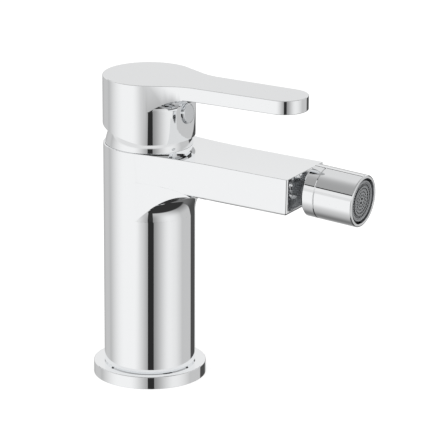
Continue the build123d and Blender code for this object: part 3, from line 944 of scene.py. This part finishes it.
@dataclass
class Outlet(SubAssembly):
    """Everything that swivels on the ball: ring, sleeve and aerator."""

    axis: Axis = forward_axis(BALL_CENTRE, 3.6)
    radius: float = 12.4
    reach: float = 21.88
    joint_chamfer: float = 0.3
    corner_round: float = 0.1
    ring_back: float = -5.0
    ring_front: float = 2.0
    ring_chamfer: float = 1.25
    ring_round: float = 0.5  # on both edges of that chamfer
    ring_mouth: float = 7.365  # inner radius at the back
    ring_seat: float = 8.665  # inner radius where the socket starts
    ring_bore: float = 10.9
    ring_step: float = -1.0  # where the bore starts
    sleeve_back: float = -0.9
    sleeve_spigot: float = 10.8  # outer radius of what goes into the ring
    sleeve_waist: float = 9.8  # inner radius behind the floor
    floor_span: tuple[float, float] = (9.2, 10.2)
    floor_hole: float = 6.5
    bore: float = 10.75
    lip_round: float = 1.0
    lip_inner_round: float = 0.3
    cup_span: tuple[float, float] = (11.2, 12.2)  # of its flange
    cup_flange: float = 10.65
    cup_wall: tuple[float, float] = (8.9, 9.7)
    cup_hole: float = 8.1
    cup_front: float = 21.2
    cup_round: float = 0.15
    cells: int = 144  # of the insert, round the axis
    cells_turned: int = 10  # how many cells the pattern is turned by
    insert_sunk: float = 0.3  # behind the cup's front
    insert_thickness: float = 1.6
    insert_radius: float = 8.8
    bands: tuple[Band, ...] = (
        Band(0.0),
        Band(0.3, 2, 36),
        Band(1.5),
        Band(2.3, 12, 6, 0.1),
        Band(3.1),
        Band(3.9, 18, 4, 0.1),
        Band(4.7),
        Band(5.5, 24, 3, 0.1),
        Band(6.3, back=-0.15),
        Band(7.0, 36, 2, 0.25),
        Band(8.3),
    )

    def build(self) -> None:
        """Makes ring and sleeve, and the aerator's insert and cup."""
        self.build_ring()
        self.build_sleeve()
        self.build_insert()
        self.build_cup()

    def build_ring(self) -> None:
        """Turns the rear ring, which holds the ball."""
        outline = [
            (self.ring_mouth, self.ring_back),
            (self.radius - self.ring_chamfer, self.ring_back),
            (self.radius, self.ring_back + self.ring_chamfer),
            (self.radius, self.ring_front - self.joint_chamfer),
            (self.radius - self.joint_chamfer, self.ring_front),
            (self.ring_bore, self.ring_front),
            (self.ring_bore, self.ring_step),
            (self.ring_seat, self.ring_step),
        ]
        rounds = {1: self.ring_round, 2: self.ring_round}
        mesh = lathe(soften(outline, self.corner_round, rounds), self.axis)
        place("outlet_ring", mesh, Slot.CHROME, Body.OUTLET, "swivel_ring")

    def build_sleeve(self) -> None:
        """Turns the front sleeve, with the floor that the aerator rests on."""
        floor_back, floor_front = self.floor_span
        outline = [
            (self.sleeve_waist, self.sleeve_back),
            (self.sleeve_spigot, self.sleeve_back),
            (self.sleeve_spigot, self.ring_front),
            (self.radius - self.joint_chamfer, self.ring_front),
            (self.radius, self.ring_front + self.joint_chamfer),
            (self.radius, self.reach),
            (self.bore, self.reach),
            (self.bore, floor_front),
            (self.floor_hole, floor_front),
            (self.floor_hole, floor_back),
            (self.sleeve_waist, floor_back),
        ]
        rounds = {5: self.lip_round, 6: self.lip_inner_round}
        mesh = lathe(soften(outline, self.corner_round, rounds, steps=6), self.axis)
        place("outlet_sleeve", mesh, Slot.CHROME, Body.OUTLET, "aerator_sleeve")

    def build_cup(self) -> None:
        """Turns the cup that the insert sits in."""
        (back, flange_front), (inner, outer) = self.cup_span, self.cup_wall
        outline = [
            (self.cup_hole, back),
            (self.cup_flange, back),
            (self.cup_flange, flange_front),
            (outer, flange_front),
            (outer, self.cup_front),
            (inner, self.cup_front),
            (inner, flange_front),
            (self.cup_hole, flange_front),
        ]
        mesh = lathe(soften(outline, self.cup_round, {}), self.axis, segments=96)
        place("jet_cup", mesh, Slot.AERATOR_PLASTIC, Body.OUTLET, "aerator_cup")

    def is_open(self, band: int, cell: int) -> bool:
        """Tells whether a cell of the insert is part of an opening.

        Args:
            band: the number of its ring, which may lie outside the insert.
            cell: its number round the axis.

        Returns:
            Whether it is left out.
        """
        if not 0 <= band < len(self.bands) or not self.bands[band].openings:
            return False
        every = self.cells // self.bands[band].openings
        return (cell % self.cells) % every < self.bands[band].open_cells

    def build_insert(self) -> None:
        """Builds the jet insert: rings of openings between plain rings, in polar cells."""
        weld = 0.0001 * MM
        front = self.cup_front - self.insert_sunk
        radii = [band.inner for band in self.bands] + [self.insert_radius]
        shell = bmesh.new()
        points: dict[tuple[int, int, int, float], bmesh.types.BMVert] = {}

        def point(band: int, cell: int, side: int, back: float) -> bmesh.types.BMVert:
            """Makes a corner of the cells the first time.

            Args:
                band: the number of the ring that it is at the inner edge of.
                cell: the number of the cell that it starts.
                side: 0 for the face, 1 for the back.
                back: how far the face stands back there, in mm.

            Returns:
                The vertex, the same one each time.
            """
            key = (band, cell % self.cells, side, back)
            if key not in points:
                distance = front - back - self.insert_thickness * side
                angle = math.tau * (cell + self.cells_turned) / self.cells
                points[key] = shell.verts.new(self.axis.at(radii[band], distance, angle))
            return points[key]

        for band, ring in enumerate(self.bands):
            for cell in range(self.cells):
                if self.is_open(band, cell):
                    continue
                ends = ((band, cell), (band, cell + 1), (band + 1, cell + 1), (band + 1, cell))
                for side in (0, 1):
                    shell.faces.new([point(*end, side, ring.back) for end in ends])
                walls = [(ends[0], ends[1]), (ends[3], ends[2])]
                if self.is_open(band, cell - 1):
                    walls.append((ends[0], ends[3]))
                if self.is_open(band, cell + 1):
                    walls.append((ends[1], ends[2]))
                for first, last in walls:
                    corners = [point(*first, 0, ring.back), point(*last, 0, ring.back)]
                    corners += [point(*last, 1, ring.back), point(*first, 1, ring.back)]
                    if shell.faces.get(corners) is None:
                        shell.faces.new(corners)
        bmesh.ops.remove_doubles(shell, verts=shell.verts, dist=weld)
        bmesh.ops.recalc_face_normals(shell, faces=shell.faces)
        mesh = finished(shell)
        place("jet_insert", mesh, Slot.AERATOR_PLASTIC, Body.OUTLET, "aerator_insert")
        # Painted shade: the walls of the openings take the dark acetal in place of the shade
        # inside them
        mesh.materials.append(PAINTED_SHADE_PLASTIC.material())
        facing = Vector(self.axis.direction)
        least_front = 0.5  # along the axis, of the normal of a face that is no wall
        for face in mesh.polygons:
            face.material_index = int(abs(face.normal.dot(facing)) < least_front)


# Studio


@dataclass(frozen=True)
class Panel:
    """An upright panel round the object, far away: a soft white one or a black flag."""

    azimuth: float  # degrees, of its middle, from +X towards +Y
    half_width: float  # degrees, of its even part
    fade_in: float  # degrees, of the soft edge on the side of lower azimuths
    fade_out: float  # degrees, of the other one
    tone: str


@dataclass
class Surroundings:
    """What the chrome mirrors: tones laid over each other, by direction.

    A tone is a hex colour or a socket, and a weight is a socket that runs from 0 to 1.
    """

    tree: Tree
    tone: Any
    bearing: Socket = field(init=False)  # degrees, from +X towards +Y
    height: Socket = field(init=False)  # the sine of the elevation

    def __post_init__(self) -> None:
        """Works out bearing and height from the direction."""
        ray = add_node(self.tree, "ShaderNodeTexCoord").outputs["Generated"]
        split = add_node(self.tree, "ShaderNodeSeparateXYZ", inputs={0: ray})
        turn = add_node(
            self.tree,
            "ShaderNodeMath",
            {"operation": "ARCTAN2"},
            {0: split.outputs[1], 1: split.outputs[0]},
        )
        degrees = add_node(
            self.tree,
            "ShaderNodeMath",
            {"operation": "MULTIPLY"},
            {0: turn.outputs[0], 1: math.degrees(1.0)},
        )
        self.bearing, self.height = degrees.outputs[0], split.outputs[2]

    def level(self, value: Socket, low: float, high: float) -> Socket:
        """Makes a weight of a value.

        Args:
            value: the value's socket.
            low: the value that gives 0.
            high: the value that gives 1.

        Returns:
            The weight.
        """
        node = add_node(
            self.tree,
            "ShaderNodeMapRange",
            {"interpolation_type": "SMOOTHSTEP"},
            {0: value, 1: low, 2: high},
        )
        return node.outputs[0]

    def fade(self, span: tuple[float, float]) -> Socket:
        """Returns the weight that runs from 0 at one elevation to 1 at another."""
        low, high = (math.sin(math.radians(elevation)) for elevation in span)
        return self.level(self.height, low, high)

    def past(self, azimuth: float) -> Socket:
        """Measures how far the bearing lies past an azimuth.

        Args:
            azimuth: the azimuth.

        Returns:
            The socket, which gives -180 to 180 degrees.
        """
        off = add_node(
            self.tree, "ShaderNodeMath", {"operation": "SUBTRACT"}, {0: self.bearing, 1: azimuth}
        )
        wrapped = add_node(
            self.tree,
            "ShaderNodeMath",
            {"operation": "WRAP"},
            {0: off.outputs[0], 1: 180.0, 2: -180.0},
        )
        return wrapped.outputs[0]

    def beside(self, azimuth: float, reach: tuple[float, float]) -> Socket:
        """Makes a weight of how far the bearing lies from an azimuth, on either side.

        Args:
            azimuth: the azimuth.
            reach: how many degrees from it the weight is 0, and 1.

        Returns:
            The weight.
        """
        away = add_node(
            self.tree, "ShaderNodeMath", {"operation": "ABSOLUTE"}, {0: self.past(azimuth)}
        )
        return self.level(away.outputs[0], *reach)

    def across(self, azimuth: float, half: float, fade_in: float, fade_out: float) -> Socket:
        """Makes the weight of a stretch of bearings.

        Args:
            azimuth: of its middle.
            half: half the width that has the full weight, in degrees.
            fade_in: the soft edge on the side of lower azimuths, in degrees.
            fade_out: the other one.

        Returns:
            The weight.
        """
        past = self.past(azimuth)
        enter = self.level(past, -half - fade_in, -half)
        leave = self.level(past, half + fade_out, half)
        both = add_node(
            self.tree, "ShaderNodeMath", {"operation": "MULTIPLY"}, {0: enter, 1: leave}
        )
        return both.outputs[0]

    def mix(self, below: Any, weight: Socket, above: Any) -> Socket:
        """Lays one tone over another.

        Args:
            below: the tone where the weight is 0.
            weight: the weight.
            above: the tone where it is 1.

        Returns:
            The mixed tone.
        """
        tones = {6: below, 7: above}
        colours = {k: linear(v) if isinstance(v, str) else v for k, v in tones.items()}
        mixed = add_node(self.tree, "ShaderNodeMix", {"data_type": "RGBA"}, {0: weight, **colours})
        return mixed.outputs[2]

    def lay(self, weight: Socket, tone: Any) -> None:
        """Lays a tone over what is there."""
        self.tone = self.mix(self.tone, weight, tone)


@dataclass
class Studio:
    """Floor, lamp and the surroundings that the chrome mirrors.

    Azimuths are degrees from +X towards +Y, and elevations are degrees above the horizon. Where a
    tone fades in, a pair gives the elevations at which it starts and is complete.
    """

    wall: str = "#858585"
    panels: tuple[Panel, ...] = (
        Panel(156.3, 11.1, 90.0, 55.7, "#F7F7F7"),
        Panel(263.6, 1.0, 52.1, 78.3, "#EFEFEF"),
        Panel(331.3, 24.5, 9.4, 90.0, "#C6C6C6"),
        Panel(78.1, 7.1, 47.4, 11.4, "#C6C6C6"),
        Panel(213.2, 6.2, 0.8, 0.8, "#2D2D2D"),
        Panel(354.5, 15.5, 1.0, 1.0, "#4E4E4E"),
    )
    above_panels: str = "#E3E3E3"
    above_from: tuple[float, float] = (5.0, 9.0)
    upper_wall: str = "#EEEEEE"
    upper_from: tuple[float, float] = (15.5, 19.0)
    seam: float = 31.0  # elevation of the dark gap under the ceiling
    seam_width: float = 3.8
    seam_tone: str = "#262626"
    ceiling_near: str = "#A4A4A4"
    ceiling_far: str = "#DEDEDE"
    far_side: float = 40.0  # azimuth of the ceiling's lighter side
    far_reach: tuple[float, float] = (110.0, 20.0)  # degrees from it: first tone, second tone
    ground_left: str = "#C4C4C4"
    ground_right: str = "#787878"
    ground_from: tuple[float, float] = (-30.0, -60.0)
    left_side: float = 190.0  # azimuth of the ground's lighter side
    left_reach: tuple[float, float] = (55.0, 130.0)  # degrees from it, likewise
    ground_below: str = "#333333"
    below_from: tuple[float, float] = (-63.0, -66.0)
    ground_core: str = "#8C8C8C"
    core_from: tuple[float, float] = (-73.0, -80.0)
    # dark floor towards the camera: its azimuths, and the elevation that it reaches up to
    pits: tuple[tuple[float, float, float], ...] = ((207.0, 219.4, -20.0), (207.0, 352.0, -50.0))
    pit_tone: str = "#333333"
    pit_side: float = 1.0  # degrees, of the soft edge on either side
    pit_edge: float = 4.0  # degrees, of the soft upper edge
    fill: float = 0.85  # strength of the plain light on what isn't mirrored
    floor_half: float = 3.0  # m
    floor_tone: str = "#BCBCBC"
    floor_glow: float = 0.62  # what the camera sees added to the floor, so that it comes out white
    lamp_width: float = 1.2  # m
    lamp_power: float = 6.0  # W
    lamp_place: tuple[float, float, float] = (-0.5, -0.4, 1.3)  # m
    lamp_aim: tuple[float, float, float] = (0.0, 0.0, 0.06)  # m

    def mirrored(self, tree: Tree) -> Socket:
        """Lays out what the chrome mirrors.

        Args:
            tree: the world's node tree.

        Returns:
            The colour socket.
        """
        around = Surroundings(tree, self.wall)
        for panel in self.panels:
            weight = around.across(panel.azimuth, panel.half_width, panel.fade_in, panel.fade_out)
            around.lay(weight, panel.tone)
        self.lay_ground(around)
        around.lay(around.fade(self.above_from), self.above_panels)
        around.lay(around.fade(self.upper_from), self.upper_wall)
        self.lay_ceiling(around)
        return around.tone

    def lay_ground(self, around: Surroundings) -> None:
        """Lays the ground: lighter on the left, dark straight below, with dark pits in front.

        Args:
            around: the surroundings that it is laid over.
        """
        side = around.beside(self.left_side, self.left_reach)
        ground = around.mix(self.ground_left, side, self.ground_right)
        ground = around.mix(ground, around.fade(self.below_from), self.ground_below)
        ground = around.mix(ground, around.fade(self.core_from), self.ground_core)
        around.lay(around.fade(self.ground_from), ground)
        for start, stop, top in self.pits:
            middle, half = (start + stop) / 2, (stop - start) / 2
            wide = around.across(middle, half, self.pit_side, self.pit_side)
            pit = around.mix(around.tone, wide, self.pit_tone)
            around.lay(around.fade((top, top - self.pit_edge)), pit)

    def lay_ceiling(self, around: Surroundings) -> None:
        """Lays the ceiling, and the dark seam below it.

        Args:
            around: the surroundings that it is laid over.
        """
        side = around.beside(self.far_side, self.far_reach)
        ceiling = around.mix(self.ceiling_near, side, self.ceiling_far)
        seam = math.sin(math.radians(self.seam))
        half = math.sin(math.radians(self.seam + self.seam_width / 2)) - seam
        for operation, sockets, tone in (
            ("GREATER_THAN", {1: seam}, ceiling),
            ("COMPARE", {1: seam, 2: half}, self.seam_tone),
        ):
            weight = add_node(
                around.tree,
                "ShaderNodeMath",
                {"operation": operation},
                {0: around.height, **sockets},
            )
            around.lay(weight.outputs[0], tone)

    def build_world(self) -> None:
        """Makes the world: white behind, panels in the mirrors, plain light on the rest."""
        world = bpy.data.worlds.new("studio")
        bpy.context.scene.world = world
        tree = empty_tree(world)
        white = linear("#FFFFFF")
        mirrors, plain, behind = (
            add_node(tree, "ShaderNodeBackground", inputs={"Color": colour, "Strength": strength})
            for colour, strength in ((self.mirrored(tree), 1.0), (white, self.fill), (white, 1.0))
        )
        rays = add_node(tree, "ShaderNodeLightPath")
        lit = add_node(
            tree,
            "ShaderNodeMixShader",
            inputs={0: rays.outputs["Is Glossy Ray"], 1: plain.outputs[0], 2: mirrors.outputs[0]},
        )
        seen = add_node(
            tree,
            "ShaderNodeMixShader",
            inputs={0: rays.outputs["Is Camera Ray"], 1: lit.outputs[0], 2: behind.outputs[0]},
        )
        add_node(tree, "ShaderNodeOutputWorld", inputs={0: seen.outputs[0]})

    def build_floor(self) -> None:
        """Makes the white floor, which takes the object's shadow and stays out of its mirrors."""
        half = self.floor_half
        mesh = bpy.data.meshes.new("floor")
        corners = [(-half, -half, 0), (half, -half, 0), (half, half, 0), (-half, half, 0)]
        mesh.from_pydata(corners, [], [(0, 1, 2, 3)])
        floor = add_object("floor", mesh)
        floor.visible_glossy = False
        made = bpy.data.materials.new("white_floor")
        tree = empty_tree(made)
        rays = add_node(tree, "ShaderNodeLightPath")
        paper = add_node(
            tree, "ShaderNodeBsdfDiffuse", inputs={"Color": linear(self.floor_tone)}
        )
        glow = add_node(
            tree,
            "ShaderNodeEmission",
            inputs={"Color": linear("#FFFFFF"), "Strength": self.floor_glow},
        )
        both = add_node(
            tree, "ShaderNodeAddShader", inputs={0: paper.outputs[0], 1: glow.outputs[0]}
        )
        seen = add_node(
            tree,
            "ShaderNodeMixShader",
            inputs={0: rays.outputs["Is Camera Ray"], 1: paper.outputs[0], 2: both.outputs[0]},
        )
        add_node(tree, "ShaderNodeOutputMaterial", inputs={0: seen.outputs[0]})
        mesh.materials.append(made)
        floor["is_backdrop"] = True

    def build_lamp(self) -> None:
        """Makes one wide soft lamp above, which gives the shadow on the floor."""
        light = bpy.data.lights.new("overhead", "AREA")
        light.shape = "DISK"
        light.size = self.lamp_width
        light.energy = self.lamp_power
        lamp = add_object("overhead", light)
        lamp.location = self.lamp_place
        aim = Vector(self.lamp_aim) - Vector(self.lamp_place)
        lamp.rotation_euler = aim.to_track_quat("-Z", "Y").to_euler()
        lamp.visible_glossy = False

    def build(self) -> None:
        """Makes the whole studio."""
        self.build_world()
        self.build_floor()
        self.build_lamp()


@dataclass
class PhotoCamera:
    """The camera, where the photograph was taken from."""

    azimuth: float = -60.03  # degrees, from the front
    elevation: float = 17.49  # degrees
    roll: float = 0.21  # degrees
    distance: float = 1597.4  # mm, from the target
    focal: float = 3322.0  # pixels of the photograph
    target_right: float = 34.13  # mm, to the right of the barrel's axis
    target_height: float = 76.53  # mm
    sensor: float = 36.0  # mm

    def build(self) -> None:
        """Makes the camera and gives it to the scene."""
        azimuth, elevation, roll = (
            math.radians(a) for a in (self.azimuth, self.elevation, self.roll)
        )
        back = Vector(
            (
                math.sin(azimuth) * math.cos(elevation),
                -math.cos(azimuth) * math.cos(elevation),
                math.sin(elevation),
            )
        )
        right = Vector((math.cos(azimuth), math.sin(azimuth), 0))
        up = back.cross(right)
        turned_right = right * math.cos(roll) + up * math.sin(roll)
        turned_up = up * math.cos(roll) - right * math.sin(roll)
        lens = bpy.data.cameras.new("photo_camera")
        lens.sensor_width = self.sensor
        lens.lens = self.focal * self.sensor / PHOTO_SIDE
        lens.clip_start = 0.05
        camera = add_object("photo_camera", lens)
        target = right * self.target_right + Vector((0, 0, self.target_height))
        turned = Matrix((turned_right, turned_up, back)).transposed().to_4x4()
        camera.matrix_world = Matrix.Translation((target + back * self.distance) * MM) @ turned
        bpy.context.scene.camera = camera


def sub_assemblies() -> Iterable[SubAssembly]:
    """Lists the sub-assemblies, with the CAD nodes that are only dressed.

    Returns:
        The sub-assemblies, from the deck upwards and out to the mouth.
    """
    plastic, rubber, ceramic = Slot.CARTRIDGE_PLASTIC, Slot.RUBBER, Slot.CERAMIC
    yield BaseRing({"base_seal": rubber})
    yield Casting({"inlet_block": Slot.BRASS, "cartridge_nut": Slot.BRASS})
    yield Cartridge(
        {
            "cartridge_housing": plastic,
            "housing_seal": rubber,
            "cartridge_base": plastic,
            "port_seals": rubber,
            "fixed_disc": ceramic,
            "moving_disc": ceramic,
            "disc_carrier": plastic,
            "spindle_guide": plastic,
            "spindle_pin": Slot.STEEL,
        }
    )
    yield Lever({"cartridge_spindle": Slot.BRASS, "set_screw": Slot.STEEL})
    yield Nipple({"nipple_washer": rubber})
    yield Outlet(
        {
            "ball_seat": Slot.SEAT_PLASTIC,
            "packing_ring": rubber,
            "aerator_washer": rubber,
            "aerator_diffuser": Slot.AERATOR_PLASTIC,
            "aerator_screens": Slot.STEEL,
        }
    )


def write_sizes() -> None:
    """Works out the box of the CAD and of the dressed model, and does nothing more with them."""
    boxes = {
        name: [[float(v) for v in corner] for corner in box]
        for name, box in (("cad", CAD_BOX), ("visual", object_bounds()))
    }


def main() -> None:
    """Builds everything in order."""
    logging.basicConfig(level=logging.INFO, format="%(message)s")
    bpy.context.scene.view_settings.view_transform = "Standard"
    PhotoCamera().build()
    Studio().build()
    for part in sub_assemblies():
        part.make()
    write_sizes()


if __name__ == "__main__":
    main()
